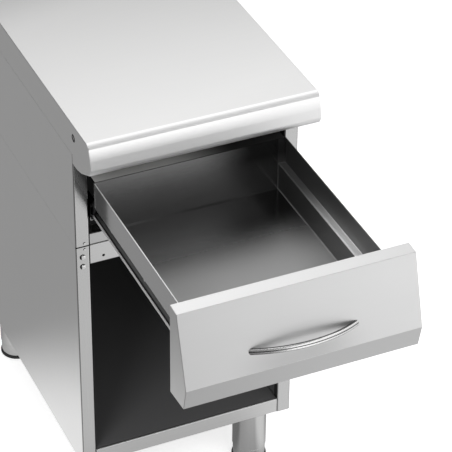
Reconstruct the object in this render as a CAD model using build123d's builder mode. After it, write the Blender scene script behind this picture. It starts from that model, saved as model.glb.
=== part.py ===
from build123d import *
import os

os.makedirs("parts", exist_ok=True)

# ---------------------------------------------------------------------------
# Stainless worktop module: a worktop with a long drawer on roller slides stands on
# an open base with four adjustable feet. The drawer is shown pulled out to
# its stop. +Y points to the back, +Z up, the floor is Z = 0 and the origin
# lies on the floor under the middle of the whole outline.
# All sizes in millimetres.
# ---------------------------------------------------------------------------

# overall
width = 400.0          # across the side panels
half = width / 2
body_depth = 568.0     # front face of the posts to the back
height = 850.0         # floor to worktop
seam_z = 605.0         # joint between drawer unit (above) and base (below)
base_z = 130.5         # lower edge of the base
post_y = -48.0         # front plane of the posts
back_y = post_y + body_depth

# sheet thicknesses
t_top = 1.5            # worktop
t_panel = 1.0          # panels, rails and drawer tub
t_front = 1.2          # drawer front

# worktop section, (distance behind the post plane, height above the seam)
nose_path = [
    (body_depth, 185.5), (body_depth, 245.0), (-71.5, 245.0), (-79.2, 226.0),
    (-83.2, 200.0), (-77.5, 191.2), (-40.0, 173.0), (-20.0, 168.0), (-0.6, 168.0),
]
nose_radii = [2.2, 11.0, 60.0, 9.0, 6.0, 20.0, 20.0]
skirt_z = seam_z + 185.5
nose_pts = [(post_y + y, seam_z + z) for y, z in nose_path]

# posts and rails
post_w = 24.0
post_return = 15.0
bend_r = 2.0
post_in = half - post_w            # inner edge of a post, from the middle
rail_half = post_in - 0.8          # rails end 0.8 short of each post
upper_rail_top = seam_z + 22.0
base_rail_low = seam_z - 38.8
seam_gap = 0.6                     # visible slit at the front on each side of the seam

# drawer
travel = 393.0
front_half = 198.0                 # half width of the drawer front
front_back_y = post_y - 395.0      # back face of the drawer front, pulled out
front_pts = [
    (front_back_y, seam_z + 161.5), (post_y - 419.0, seam_z + 160.0),
    (post_y - 454.0, seam_z + 40.0), (post_y - 445.0, seam_z + 0.0),
    (front_back_y, seam_z - 4.0),
]
tub_out = 170.7                    # half width of the wide upper part, outside
tub_low = 158.5                    # half width of the narrow lower part, outside
tub_rim = seam_z + 132.0
ledge_z = seam_z + 82.5            # underside of the ledge over the slides
tub_floor = seam_z + 32.0          # underside of the tub
tub_back = post_y - 15.0           # rear wall, outside

# slides (left one; the right one is its mirror image)
slide_x = -tub_out                 # cabinet-side face of the slide
slide_t = 12.2                     # overall thickness
slide_low = seam_z + 45.0
slide_high = seam_z + 80.0
slide_mid = (slide_low + slide_high) / 2
runner_t = 1.0
flange_l = 5.2
runner_l = 530.0
roller_r = 16.2
roller_w = 3.5
front_roller_y = post_y + 23.0     # turns on the cabinet's runners
rear_roller_y = post_y + 122.0     # turns on the drawer's runners

# legs
leg_x = 145.0
leg_y = [post_y + 53.0, back_y - 53.0]
leg_r = 31.0
foot_r = 29.8
leg_low = 31.0         # lower end of the leg tubes
beam_top = base_z + 28.8
beam_t = 1.2
plate_t = 3.0

# bow handle on the slanted drawer face
face_dir = Vector(0, 35.0, 120.0).normalized()      # up along the face
handle_z = seam_z + 74.5
handle_y = post_y - 419.0 - 35.0 * (160.0 - 74.5) / 120.0
handle_h = 10.0

# ---------------------------------------------------------------------------
# worktop
# ---------------------------------------------------------------------------

# One bent sheet: top, rolled nose with its underside, and the rear downturn.
with BuildPart() as worktop_sheet:
    with BuildSketch(Plane.YZ.offset(-half)):
        with BuildLine() as top_line:
            nose = FilletPolyline(*nose_pts, radius=nose_radii)
            Line(nose @ 1, nose @ 0)
        make_face()
    extrude(amount=width)
    # soften the cut side edges of the sheet
    soft = [
        e
        for f in (worktop_sheet.faces().sort_by(Axis.X)[0], worktop_sheet.faces().sort_by(Axis.X)[-1])
        for e in f.edges()
        if not (e.length > 400 and e.center().Z < skirt_z)
    ]
    fillet(soft, radius=1.2)
    with BuildSketch(Plane.YZ.offset(-half - 1)):
        with BuildLine() as nose_in:
            FilletPolyline(*nose_pts, radius=nose_radii)
            offset(amount=t_top, side=Side.LEFT, closed=False, mode=Mode.REPLACE)
            in_a, in_b = nose_in.wire() @ 0, nose_in.wire() @ 1
            Polyline(in_b, (in_b.X, seam_z + 100), (in_a.X, seam_z + 100), in_a)
        make_face()
    extrude(amount=width + 2, mode=Mode.SUBTRACT)


# End plate of the worktop: skirt and cheek in one, welded flush into the sheet.
with BuildPart() as left_worktop_end:
    with BuildSketch(Plane.YZ.offset(-half)):
        with BuildLine() as end_line:
            FilletPolyline(*nose_pts, radius=nose_radii)
            offset(amount=t_top, side=Side.LEFT, closed=False, mode=Mode.REPLACE)
            in_a, in_b = end_line.wire() @ 0, end_line.wire() @ 1
            Polyline(in_b, (in_a.X, skirt_z), in_a)
        make_face()
    extrude(amount=t_top)
    # inward flange that rests on the side panel
    with BuildSketch(Plane.XY.offset(skirt_z)):
        with Locations((-half + t_top, post_y + 4)):
            Rectangle(16.5, back_y - t_top - post_y - 8, align=(Align.MIN, Align.MIN))
    extrude(amount=t_top)
    # hole for a bolt to the next unit
    with Locations(Plane(origin=(-half, post_y - 7.8, seam_z + 220.7), z_dir=(-1, 0, 0))):
        Hole(radius=6.3, depth=10)

with BuildPart() as right_worktop_end:
    mirror(left_worktop_end.part, about=Plane.YZ)

# Blanking caps in the two joint holes, pressed in from inside and sunk a little.
with BuildPart() as joint_hole_caps:
    for sx in (-1, 1):
        inside = Plane(origin=(sx * (half - t_top), post_y - 7.8, seam_z + 220.7), z_dir=(-sx, 0, 0))
        with BuildSketch(inside):
            Circle(8.6)
        extrude(amount=1.6)
        with BuildSketch(inside):
            Circle(5.8)
        extrude(amount=-0.7)
    fillet([e for e in joint_hole_caps.edges().filter_by(GeomType.CIRCLE) if e.radius > 5.7 and e.radius < 5.9 and abs(abs(e.center().X) - (half - t_top + 0.7)) < 0.01], radius=0.4)

# Backing board under the sheet that keeps the top stiff and quiet.
with BuildPart() as worktop_core:
    with BuildSketch(Plane.XY.offset(height - t_top - 16)):
        with Locations((0, (post_y - 52 + back_y - 6) / 2)):
            Rectangle(2 * half - 8, back_y - 6 - (post_y - 52))
    extrude(amount=16)
    fillet(worktop_core.edges().filter_by(Axis.Z), radius=3)

# ---------------------------------------------------------------------------
# drawer unit housing
# ---------------------------------------------------------------------------

panel_path = [
    (-half + 20, back_y), (-half, back_y), (-half, post_y),
    (-post_in, post_y), (-post_in, post_y + post_return),
]

# Side panel folded to a front post with a return and to a rear flange.
with BuildPart() as left_upper_side_panel:
    with BuildSketch(Plane.XY.offset(seam_z + 0.12)):
        with BuildLine():
            FilletPolyline(*panel_path, radius=bend_r)
            offset(amount=t_panel, side=Side.LEFT)
        make_face()
    extrude(amount=skirt_z - 0.35 - seam_z - 0.12)
    # joining flange at the bottom and bearing flange at the top
    with BuildSketch(Plane.XY.offset(seam_z + 0.12), Plane.XY.offset(skirt_z - 0.35 - t_panel)):
        with Locations((-half + 0.8, post_y + 18)):
            Rectangle(17.2, body_depth - 36, align=(Align.MIN, Align.MIN))
    extrude(amount=t_panel)
    # the post stops short of the seam
    with BuildSketch(Plane.XY.offset(seam_z)):
        with Locations((-half - 1, post_y - 1)):
            Rectangle(post_w + 2, 1 + bend_r, align=(Align.MIN, Align.MIN))
    extrude(amount=seam_gap, mode=Mode.SUBTRACT)
    # bolt holes of the joining flange
    with Locations(*[Plane(origin=(-190, y, seam_z + 2), z_dir=(0, 0, 1)) for y in (post_y + 90, back_y - 90)]):
        Hole(radius=3.2, depth=6)
    # pilot holes of the small rivets at the seam
    with Locations(Plane(origin=(-half + 15.6, post_y, seam_z + 5.8), z_dir=(0, -1, 0))):
        Hole(radius=1.25, depth=3)

with BuildPart() as right_upper_side_panel:
    mirror(left_upper_side_panel.part, about=Plane.YZ)

with BuildPart() as upper_back_panel:
    with BuildSketch(Plane.XZ.offset(-(back_y - t_panel - 0.05))):
        with Locations((0, (seam_z + 0.6 + skirt_z - 0.35) / 2)):
            Rectangle(2 * (half - 11), skirt_z - 0.35 - seam_z - 0.6)
    extrude(amount=t_panel)

# Front rail under the drawer, folded back at both edges.
with BuildPart() as upper_front_rail:
    with BuildSketch(Plane.YZ.offset(-rail_half)):
        with BuildLine():
            FilletPolyline(
                (post_y + 24, upper_rail_top), (post_y + 0.5, upper_rail_top),
                (post_y + 0.5, seam_z + seam_gap), (post_y + 24, seam_z + seam_gap),
                radius=1.6,
            )
            offset(amount=t_panel, side=Side.LEFT)
        make_face()
    extrude(amount=2 * rail_half)

# Rear cross rail of the drawer unit.
with BuildPart() as upper_rear_rail:
    with BuildSketch(Plane.YZ.offset(-181.5)):
        with BuildLine():
            FilletPolyline(
                (back_y - 30, seam_z + 0.5), (back_y - 2.3, seam_z + 0.5), (back_y - 2.3, seam_z + 45),
                radius=2.5,
            )
            offset(amount=1.2, side=Side.LEFT)
        make_face()
    extrude(amount=363)

# ---------------------------------------------------------------------------
# slides
# ---------------------------------------------------------------------------

# C-shaped spacer that carries the slide off the side panel.
with BuildPart() as left_runner_bracket:
    with BuildSketch(Plane.XZ.offset(-(post_y + 20))):
        with BuildLine():
            FilletPolyline(
                (-half + t_panel, slide_low - 2), (slide_x - 0.3, slide_low - 2),
                (slide_x - 0.3, slide_high - 1), (-half + t_panel, slide_high - 1),
                radius=2.5,
            )
            offset(amount=1.2, side=Side.LEFT)
        make_face()
    extrude(amount=-500)
    with Locations(*[Plane(origin=(slide_x, y, slide_mid), z_dir=(1, 0, 0)) for y in (post_y + 60, post_y + 260, post_y + 460)]):
        Hole(radius=2.0, depth=5)

with BuildPart() as right_runner_bracket:
    mirror(left_runner_bracket.part, about=Plane.YZ)

# Outer runner, fixed to the cabinet: the drawer's rear rollers run in it.
with BuildPart() as left_cabinet_runner:
    with BuildSketch(Plane.XZ.offset(-(post_y + 5))):
        with BuildLine():
            FilletPolyline(
                (slide_x + flange_l, slide_low), (slide_x, slide_low), (slide_x, slide_high), (slide_x + flange_l, slide_high),
                radius=1.6,
            )
            offset(amount=runner_t, side=Side.RIGHT)
        make_face()
    extrude(amount=-runner_l)
    with Locations(*[Plane(origin=(slide_x + 2, y, slide_mid), z_dir=(1, 0, 0)) for y in (post_y + 60, post_y + 260, post_y + 460)]):
        Hole(radius=2.0, depth=5)
    with Locations(Plane(origin=(slide_x + 2, front_roller_y, slide_mid), z_dir=(1, 0, 0))):
        Hole(radius=2.5, depth=5)

with BuildPart() as right_cabinet_runner:
    mirror(left_cabinet_runner.part, about=Plane.YZ)

# Screws that hold the outer runners to their spacers.
with BuildPart() as runner_screws:
    for sx in (-1, 1):
        for y in (post_y + 60, post_y + 260, post_y + 460):
            head = Plane(origin=(sx * (tub_out - runner_t), y, slide_mid), z_dir=(-sx, 0, 0))
            with BuildSketch(head):
                Circle(3.4)
            extrude(amount=0.35)
            with BuildSketch(head):
                Circle(1.95)
            extrude(amount=-5.0)

# Inner runner, fixed to the drawer. It reaches far behind the tub, so that it
# still has hold of the outer runner when the tub is outside the housing.
with BuildPart() as left_drawer_runner:
    with BuildSketch(Plane.XZ.offset(-(post_y - 390))):
        with BuildLine():
            FilletPolyline(
                (-tub_low - flange_l, slide_low), (-tub_low, slide_low), (-tub_low, slide_high), (-tub_low - flange_l, slide_high),
                radius=1.6,
            )
            offset(amount=runner_t, side=Side.LEFT)
        make_face()
    extrude(amount=-runner_l)
    with Locations(*[Plane(origin=(-tub_low - 2, y, slide_mid), z_dir=(-1, 0, 0)) for y in (post_y - 340, post_y - 200, post_y - 60)]):
        Hole(radius=1.65, depth=5)
    with Locations(Plane(origin=(-tub_low - 2, rear_roller_y, slide_mid), z_dir=(-1, 0, 0))):
        Hole(radius=2.5, depth=5)

with BuildPart() as right_drawer_runner:
    mirror(left_drawer_runner.part, about=Plane.YZ)

# Rollers with a plain bore and a rounded tread.
rollers = {}
for roller_name, roller_x, roller_y in (
    ("left_front_roller", -tub_low - runner_t - 0.7 - roller_w, front_roller_y),
    ("left_rear_roller", slide_x + runner_t + 0.9, rear_roller_y),
):
    with BuildPart() as roller:
        with BuildSketch(Plane(origin=(roller_x, roller_y, slide_mid), x_dir=(0, 1, 0), z_dir=(1, 0, 0))):
            Circle(roller_r)
            Circle(3.05, mode=Mode.SUBTRACT)
        extrude(amount=roller_w)
        fillet([e for e in roller.edges().filter_by(GeomType.CIRCLE) if e.radius > 10], radius=0.5)
        # recess round the hub on the open side
        with BuildSketch(Plane(origin=(roller_x, roller_y, slide_mid), x_dir=(0, 1, 0), z_dir=(1, 0, 0))):
            Circle(12.5)
            Circle(6.5, mode=Mode.SUBTRACT)
        extrude(amount=0.8, mode=Mode.SUBTRACT)
    rollers[roller_name] = roller.part

# Stepped pins of the front rollers, riveted into the cabinet's runners.
with BuildPart() as cabinet_roller_axles:
    for sx in (-1, 1):
        seat = Plane(origin=(sx * (tub_out - runner_t), front_roller_y, slide_mid), z_dir=(-sx, 0, 0))
        gap = (tub_out - runner_t) - (tub_low + runner_t + 0.7 + roller_w)
        with BuildSketch(seat):
            Circle(5.0)
        extrude(amount=gap - 0.05)
        with BuildSketch(seat):
            Circle(3.0)
        extrude(amount=gap + roller_w)
        with BuildSketch(seat):
            Circle(2.45)
        extrude(amount=-runner_t)

# Stepped pins of the rear rollers, riveted into the drawer's runners.
with BuildPart() as drawer_roller_axles:
    for sx in (-1, 1):
        seat = Plane(origin=(sx * (tub_low + runner_t), rear_roller_y, slide_mid), z_dir=(sx, 0, 0))
        gap = (tub_out - runner_t - 0.9 - roller_w) - (tub_low + runner_t)
        with BuildSketch(seat):
            Circle(5.0)
        extrude(amount=gap - 0.05)
        with BuildSketch(seat):
            Circle(3.0)
        extrude(amount=gap + roller_w)
        with BuildSketch(seat):
            Circle(2.45)
        extrude(amount=-runner_t)

# ---------------------------------------------------------------------------
# drawer
# ---------------------------------------------------------------------------

tub_path = [
    (-tub_out, tub_rim), (-tub_out, ledge_z), (-tub_low, ledge_z), (-tub_low, tub_floor),
    (tub_low, tub_floor), (tub_low, ledge_z), (tub_out, ledge_z), (tub_out, tub_rim),
]
tub_front = front_back_y

# Deep tub: narrow below for the slides, wide above the ledge.
with BuildPart() as drawer_tub:
    with BuildSketch(Plane.XZ.offset(-tub_front)):
        with BuildLine():
            FilletPolyline(*tub_path, radius=[1.8, 1.2, 2.2, 2.2, 1.2, 1.8])
            offset(amount=t_panel, side=Side.LEFT)
        make_face()
    extrude(amount=-(tub_back - tub_front))
    # front and rear walls
    for y in (tub_front, tub_back - t_panel):
        with BuildSketch(Plane.XZ.offset(-y)):
            with BuildLine():
                walls = FilletPolyline(*tub_path, radius=[1.8, 1.2, 2.2, 2.2, 1.2, 1.8])
                Line(walls @ 1, walls @ 0)
            make_face()
        extrude(amount=-t_panel)
    # folded safety hem along both side walls
    for sx in (-1, 1):
        with BuildSketch(Plane.XZ.offset(-tub_front)):
            with Locations((sx * (tub_out - 0.5), tub_rim - 8)):
                Rectangle(1.6, 8, align=(Align.MIN if sx < 0 else Align.MAX, Align.MIN))
        extrude(amount=-(tub_back - tub_front))
    hems = [
        e for e in drawer_tub.edges().filter_by(Axis.Y)
        if abs(e.center().Z - tub_rim) < 0.01 and (abs(abs(e.center().X) - tub_out) < 0.01 or abs(abs(e.center().X) - tub_out + 2.1) < 0.01)
    ]
    fillet(hems, radius=0.8)
    # flange at the back that carries on over the slides' rear ends
    with BuildSketch(Plane.XY.offset(tub_rim - t_panel)):
        with Locations((0, tub_back - 0.5)):
            Rectangle(2 * tub_out - 6, 20.5, align=(Align.CENTER, Align.MIN))
    extrude(amount=t_panel)
    # screw holes to the drawer front
    with Locations(*[Plane(origin=(x, tub_front, z), z_dir=(0, -1, 0)) for x in (-110, 110) for z in (seam_z + 60, seam_z + 110)]):
        Hole(radius=1.98, depth=6)

# Outer skin of the drawer front: one bent sheet with a raised centre fold.
front_radii = [1.6, 1.8, 1.6]
with BuildPart() as drawer_front_skin:
    with BuildSketch(Plane.YZ.offset(-front_half)):
        with BuildLine() as front_line:
            front_edge = FilletPolyline(*front_pts, radius=front_radii)
            Line(front_edge @ 1, front_edge @ 0)
        make_face()
    extrude(amount=2 * front_half)
    rim = [
        e
        for f in (drawer_front_skin.faces().sort_by(Axis.X)[0], drawer_front_skin.faces().sort_by(Axis.X)[-1])
        for e in f.edges()
        if abs(e.center().Y - front_back_y) > 0.5
    ]
    fillet(rim, radius=1.0)
    with BuildSketch(Plane.YZ.offset(-front_half - 1)):
        with BuildLine() as front_in:
            FilletPolyline(*front_pts, radius=front_radii)
            offset(amount=t_front, side=Side.LEFT, closed=False, mode=Mode.REPLACE)
            fa, fb = front_in.wire() @ 0, front_in.wire() @ 1
            Polyline(fb, (front_back_y + 5, fb.Y), (front_back_y + 5, fa.Y), fa)
        make_face()
    extrude(amount=2 * front_half + 2, mode=Mode.SUBTRACT)
    # holes for the handle screws
    with Locations(*[Plane(origin=(x, handle_y, handle_z), x_dir=(1, 0, 0), z_dir=(0, -face_dir.Z, face_dir.Y)) for x in (-84, 84)]):
        Hole(radius=2.1, depth=6)

# Closing plates at both ends of the drawer front.
with BuildPart() as drawer_front_ends:
    for sx in (-1, 1):
        with BuildSketch(Plane.YZ.offset(sx * front_half)):
            with BuildLine() as ends_in:
                FilletPolyline(*front_pts, radius=front_radii)
                offset(amount=t_front, side=Side.LEFT, closed=False, mode=Mode.REPLACE)
                ea, eb = ends_in.wire() @ 0, ends_in.wire() @ 1
                Line(eb, ea)
            make_face()
        extrude(amount=-sx * t_front)

# Back plate that closes the drawer front and takes the tub.
with BuildPart() as drawer_front_back:
    z_low, z_high = seam_z - 4.0 + t_front + 0.12, seam_z + 161.5 - t_front - 0.15
    with BuildSketch(Plane.XZ.offset(-(front_back_y - t_front))):
        with Locations((0, (z_low + z_high) / 2)):
            Rectangle(2 * (front_half - t_front - 0.05), z_high - z_low)
    extrude(amount=-t_front)
    with Locations(*[Plane(origin=(x, front_back_y, z), z_dir=(0, -1, 0)) for x in (-110, 110) for z in (seam_z + 60, seam_z + 110)]):
        Hole(radius=1.98, depth=6)

# Screws between tub and drawer front, heads inside the tub.
with BuildPart() as front_fixing_screws:
    for x in (-110, 110):
        for z in (seam_z + 60, seam_z + 110):
            with BuildSketch(Plane(origin=(x, tub_front + t_panel, z), z_dir=(0, 1, 0))):
                Circle(4.0)
            extrude(amount=2.4)
            with BuildSketch(Plane(origin=(x, tub_front + t_panel, z), z_dir=(0, -1, 0))):
                Circle(1.9)
            extrude(amount=9.0)
    fillet(
        [e for e in front_fixing_screws.edges().filter_by(GeomType.CIRCLE) if abs(e.center().Y - (tub_front + t_panel + 2.4)) < 0.01],
        radius=1.2,
    )

# Bow handle: a bent flat bar with rounded edges, its ends cut to the face.
handle_plane = Plane(origin=(0, handle_y, handle_z), x_dir=(1, 0, 0), z_dir=face_dir)
with BuildPart() as bow_handle:
    with BuildSketch(handle_plane):
        with BuildLine():
            ThreePointArc((-92, 0), (0, -28.5), (92, 0))
            Line((92, 0), (83, 0))
            ThreePointArc((83, 0), (0, -23.6), (-83, 0))
            Line((-83, 0), (-92, 0))
        make_face()
    extrude(amount=handle_h / 2, both=True)
    fillet([e for e in bow_handle.edges().filter_by(GeomType.CIRCLE) if e.length > 150], radius=1.9)
    # rounded ends
    with BuildSketch(Plane(origin=(0, handle_y, handle_z), x_dir=(1, 0, 0), z_dir=(0, -face_dir.Z, face_dir.Y))):
        SlotOverall(184, handle_h)
    extrude(amount=40, both=True, mode=Mode.INTERSECT)
    # fine groove along the front
    with BuildSketch(handle_plane):
        with BuildLine():
            ThreePointArc((-94, 1.6), (0, -27.6), (94, 1.6))
            Line((94, 1.6), (96, 1.0))
            ThreePointArc((96, 1.0), (0, -31), (-96, 1.0))
            Line((-96, 1.0), (-94, 1.6))
        make_face()
    extrude(amount=0.5, both=True, mode=Mode.SUBTRACT)
    with Locations(*[Plane(origin=(x, handle_y, handle_z), x_dir=(1, 0, 0), z_dir=(0, face_dir.Z, -face_dir.Y)) for x in (-84, 84)]):
        Hole(radius=1.75, depth=3.2)

# Screws that pull the handle on from inside the hollow front.
with BuildPart() as handle_screws:
    for x in (-84, 84):
        inner = Plane(origin=(x, handle_y, handle_z), x_dir=(1, 0, 0), z_dir=(0, face_dir.Z, -face_dir.Y)).offset(t_front)
        with BuildSketch(inner):
            Circle(4.0)
        extrude(amount=2.6)
        with BuildSketch(inner):
            Circle(1.72)
        extrude(amount=-(t_front + 3.0))

# Soft buffers on the back of the drawer front.
with BuildPart() as drawer_buffers:
    with BuildSketch(Plane.XZ.offset(-front_back_y)):
        with Locations((-188, seam_z + 12), (188, seam_z + 12), (-188, seam_z + 145), (188, seam_z + 145)):
            Circle(4.5)
    extrude(amount=-1.6)
    fillet(drawer_buffers.faces().sort_by(Axis.Y)[-4:].edges(), radius=0.6)

# Rivets that hold the inner runners to the tub.
with BuildPart() as runner_rivets:
    for sx in (-1, 1):
        for y in (post_y - 340, post_y - 200, post_y - 60):
            seat = Plane(origin=(sx * (tub_low + runner_t), y, slide_mid), z_dir=(sx, 0, 0))
            with BuildSketch(seat):
                Circle(3.2)
            extrude(amount=0.35)
            with BuildSketch(seat):
                Circle(1.6)
            extrude(amount=-runner_t)

# ---------------------------------------------------------------------------
# base
# ---------------------------------------------------------------------------

with BuildPart() as left_base_side_panel:
    with BuildSketch(Plane.XY.offset(base_z)):
        with BuildLine():
            FilletPolyline(*panel_path, radius=bend_r)
            offset(amount=t_panel, side=Side.LEFT)
        make_face()
    extrude(amount=seam_z - 0.12 - base_z)
    with BuildSketch(Plane.XY.offset(base_z), Plane.XY.offset(seam_z - 0.12 - t_panel)):
        with Locations((-half + 0.8, post_y + 18)):
            Rectangle(17.2, body_depth - 36, align=(Align.MIN, Align.MIN))
    extrude(amount=t_panel)
    with BuildSketch(Plane.XY.offset(seam_z)):
        with Locations((-half - 1, post_y - 1)):
            Rectangle(post_w + 2, 1 + bend_r, align=(Align.MIN, Align.MIN))
    extrude(amount=-seam_gap, mode=Mode.SUBTRACT)
    with Locations(*[Plane(origin=(-190, y, seam_z + 2), z_dir=(0, 0, 1)) for y in (post_y + 90, back_y - 90)]):
        Hole(radius=3.2, depth=6)
    with Locations(
        Plane(origin=(-half + 15.9, post_y, seam_z - 6.2), z_dir=(0, -1, 0)),
    ):
        Hole(radius=1.25, depth=3)
    with Locations(*[Plane(origin=(-half + 11.8, post_y, seam_z + z), z_dir=(0, -1, 0)) for z in (-21.0, -40.4)]):
        Hole(radius=2.45, depth=3)

with BuildPart() as right_base_side_panel:
    mirror(left_base_side_panel.part, about=Plane.YZ)

with BuildPart() as base_back_panel:
    with BuildSketch(Plane.XZ.offset(-(back_y - t_panel - 0.05))):
        with Locations((0, (base_z + 2 + seam_z - 0.6) / 2)):
            Rectangle(2 * (half - 11), seam_z - 0.6 - base_z - 2)
    extrude(amount=t_panel)

# Upper front rail of the base with one small catch hole.
with BuildPart() as base_front_rail:
    with BuildSketch(Plane.YZ.offset(-rail_half)):
        with BuildLine():
            FilletPolyline(
                (post_y + 24, seam_z - seam_gap), (post_y + 0.5, seam_z - seam_gap),
                (post_y + 0.5, base_rail_low), (post_y + 24, base_rail_low),
                radius=1.6,
            )
            offset(amount=t_panel, side=Side.LEFT)
        make_face()
    extrude(amount=2 * rail_half)
    with Locations(Plane(origin=(-half + 48.7, post_y + 0.5, seam_z - 27.3), z_dir=(0, -1, 0))):
        Hole(radius=2.5, depth=4)

with BuildPart() as base_rear_rail:
    with BuildSketch(Plane.YZ.offset(-181.5)):
        with BuildLine():
            FilletPolyline(
                (back_y - 30, seam_z - 0.5), (back_y - 2.3, seam_z - 0.5), (back_y - 2.3, seam_z - 45),
                radius=2.5,
            )
            offset(amount=1.2, side=Side.RIGHT)
        make_face()
    extrude(amount=363)

# Bottom shelf: a pan with a front lip and a rear lip.
with BuildPart() as bottom_shelf:
    with BuildSketch(Plane.YZ.offset(-rail_half)):
        with BuildLine():
            FilletPolyline(
                (back_y - 20, base_z), (back_y - 2.3, base_z), (back_y - 2.3, base_z + 30),
                (post_y + 0.5, base_z + 30), (post_y + 0.5, base_z), (post_y + 16.5, base_z),
                radius=1.8,
            )
            offset(amount=1.2, side=Side.LEFT)
        make_face()
    extrude(amount=2 * rail_half)

# Two cross beams under the shelf carry the legs and tie the side panels.
with BuildPart() as shelf_beams:
    for y in leg_y:
        with BuildSketch(Plane.YZ.offset(-half + t_panel)):
            with BuildLine():
                FilletPolyline((y + 36, base_z + 8.8), (y + 36, beam_top), (y - 36, beam_top), (y - 36, base_z + 8.8), radius=2.5)
                offset(amount=beam_t, side=Side.LEFT)
            make_face()
        extrude(amount=2 * (half - t_panel))
        with Locations(*[Plane(origin=(sx * leg_x + dx, y + dy, beam_top), z_dir=(0, 0, 1)) for sx in (-1, 1) for dx in (-27, 27) for dy in (-27, 27)]):
            Hole(radius=2.6, depth=4)

# Linings that close the open base to both sides and to the back.
with BuildPart() as left_niche_lining:
    with BuildSketch(Plane.YZ.offset(-post_in - 0.4)):
        with Locations(((post_y + post_return + 0.4 + back_y - 24) / 2, (base_z + 29.3 + seam_z - 2.0) / 2)):
            Rectangle(back_y - 24 - post_y - post_return - 0.4, seam_z - 2.0 - base_z - 29.3)
    extrude(amount=-0.8)

with BuildPart() as right_niche_lining:
    mirror(left_niche_lining.part, about=Plane.YZ)

with BuildPart() as niche_back_lining:
    with BuildSketch(Plane.XZ.offset(-(back_y - 24.4))):
        with Locations((0, (base_z + 30.4 + seam_z - 2.0) / 2)):
            Rectangle(2 * post_in, seam_z - 2.0 - base_z - 30.4)
    extrude(amount=0.8)

# Bolts and nuts that hold the drawer unit down on the base.
with BuildPart() as module_bolts:
    for x in (-190, 190):
        for y in (post_y + 90, back_y - 90):
            with BuildSketch(Plane(origin=(x, y, seam_z + 0.12 + t_panel))):
                RegularPolygon(radius=5.77, side_count=6)
            extrude(amount=4.0)
            with BuildSketch(Plane(origin=(x, y, seam_z + 0.12 + t_panel))):
                Circle(2.95)
            extrude(amount=-12.0)

with BuildPart() as module_nuts:
    for x in (-190, 190):
        for y in (post_y + 90, back_y - 90):
            with BuildSketch(Plane(origin=(x, y, seam_z - 0.12 - t_panel))):
                RegularPolygon(radius=5.77, side_count=6)
                Circle(3.0, mode=Mode.SUBTRACT)
            extrude(amount=-5.0)

# Domed rivets on the posts: large ones at the base rail, small ones at the seam.
with BuildPart() as post_rivets:
    for sx in (-1, 1):
        for dx, z, head_r, head_h, shank_r in (
            (11.8, -21.0, 5.2, 2.8, 2.4), (11.8, -40.4, 5.2, 2.8, 2.4),
            (15.6, 5.8, 2.4, 1.2, 1.2), (15.9, -6.2, 2.4, 1.2, 1.2),
        ):
            seat = Plane(origin=(sx * (half - dx), post_y, seam_z + z), z_dir=(0, -1, 0))
            with BuildSketch(seat):
                Circle(head_r)
            extrude(amount=head_h)
            with BuildSketch(seat):
                Circle(shank_r)
            extrude(amount=-4.0)
    rivet_tops = post_rivets.edges().filter_by(GeomType.CIRCLE)
    fillet([e for e in rivet_tops if abs(e.center().Y - (post_y - 2.8)) < 0.01], radius=2.65)
    fillet([e for e in post_rivets.edges().filter_by(GeomType.CIRCLE) if abs(e.center().Y - (post_y - 1.2)) < 0.01 and e.radius < 2.5], radius=1.0)

# ---------------------------------------------------------------------------
# legs and feet
# ---------------------------------------------------------------------------

corners = [
    ("front_left", -leg_x, leg_y[0]), ("front_right", leg_x, leg_y[0]),
    ("rear_left", -leg_x, leg_y[1]), ("rear_right", leg_x, leg_y[1]),
]

with BuildPart() as leg_plates:
    for _, x, y in corners:
        with BuildSketch(Plane(origin=(x, y, beam_top - beam_t))):
            RectangleRounded(65, 65, 5)
            with GridLocations(54, 54, 2, 2):
                Circle(2.7, mode=Mode.SUBTRACT)
        extrude(amount=-plate_t)

with BuildPart() as leg_screws:
    for _, x, y in corners:
        for dx in (-27, 27):
            for dy in (-27, 27):
                with BuildSketch(Plane(origin=(x + dx, y + dy, beam_top - beam_t - plate_t))):
                    RegularPolygon(radius=4.6, side_count=6)
                extrude(amount=-3.2)
                with BuildSketch(Plane(origin=(x + dx, y + dy, beam_top - beam_t - plate_t))):
                    Circle(2.5)
                extrude(amount=plate_t + beam_t - 0.05)

leg_top = beam_top - beam_t - plate_t
leg_parts = {}
for corner, x, y in corners:
    with BuildPart() as leg:
        with BuildSketch(Plane(origin=(x, y, leg_low))):
            Circle(leg_r)
            Circle(leg_r - 1.5, mode=Mode.SUBTRACT)
        extrude(amount=leg_top - leg_low)
        fillet([e for e in leg.edges().filter_by(GeomType.CIRCLE) if e.center().Z < leg_low + 0.1 and e.radius > leg_r - 0.1], radius=0.7)
    leg_parts[corner + "_leg"] = leg.part
    # steel foot with its threaded stem, in one piece
    with BuildPart() as foot:
        with BuildSketch(Plane(origin=(x, y, 6.5))):
            Circle(foot_r)
        extrude(amount=leg_low - 0.35 - 6.5)
        fillet(foot.edges().filter_by(GeomType.CIRCLE).group_by(Axis.Z)[-1], radius=1.2)
        with BuildSketch(Plane(origin=(x, y, 29.0))):
            Circle(9.95)
        extrude(amount=61.0)
        chamfer(foot.edges().filter_by(GeomType.CIRCLE).group_by(Axis.Z)[-1], length=1.5)
    leg_parts[corner + "_foot"] = foot.part
    # rubber pad under the foot
    with BuildPart() as pad:
        with BuildSketch(Plane(origin=(x, y, 0))):
            Circle(leg_r + 1.0)
        extrude(amount=6.5)
        fillet(pad.edges().filter_by(GeomType.CIRCLE), radius=1.8)
    leg_parts[corner + "_pad"] = pad.part

# Threaded discs welded into the lower ends of the legs.
with BuildPart() as leg_inserts:
    for _, x, y in corners:
        with BuildSketch(Plane(origin=(x, y, leg_low + 2))):
            Circle(leg_r - 1.5)
            Circle(10.0, mode=Mode.SUBTRACT)
        extrude(amount=12.0)

# ---------------------------------------------------------------------------
# files
# ---------------------------------------------------------------------------

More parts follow.
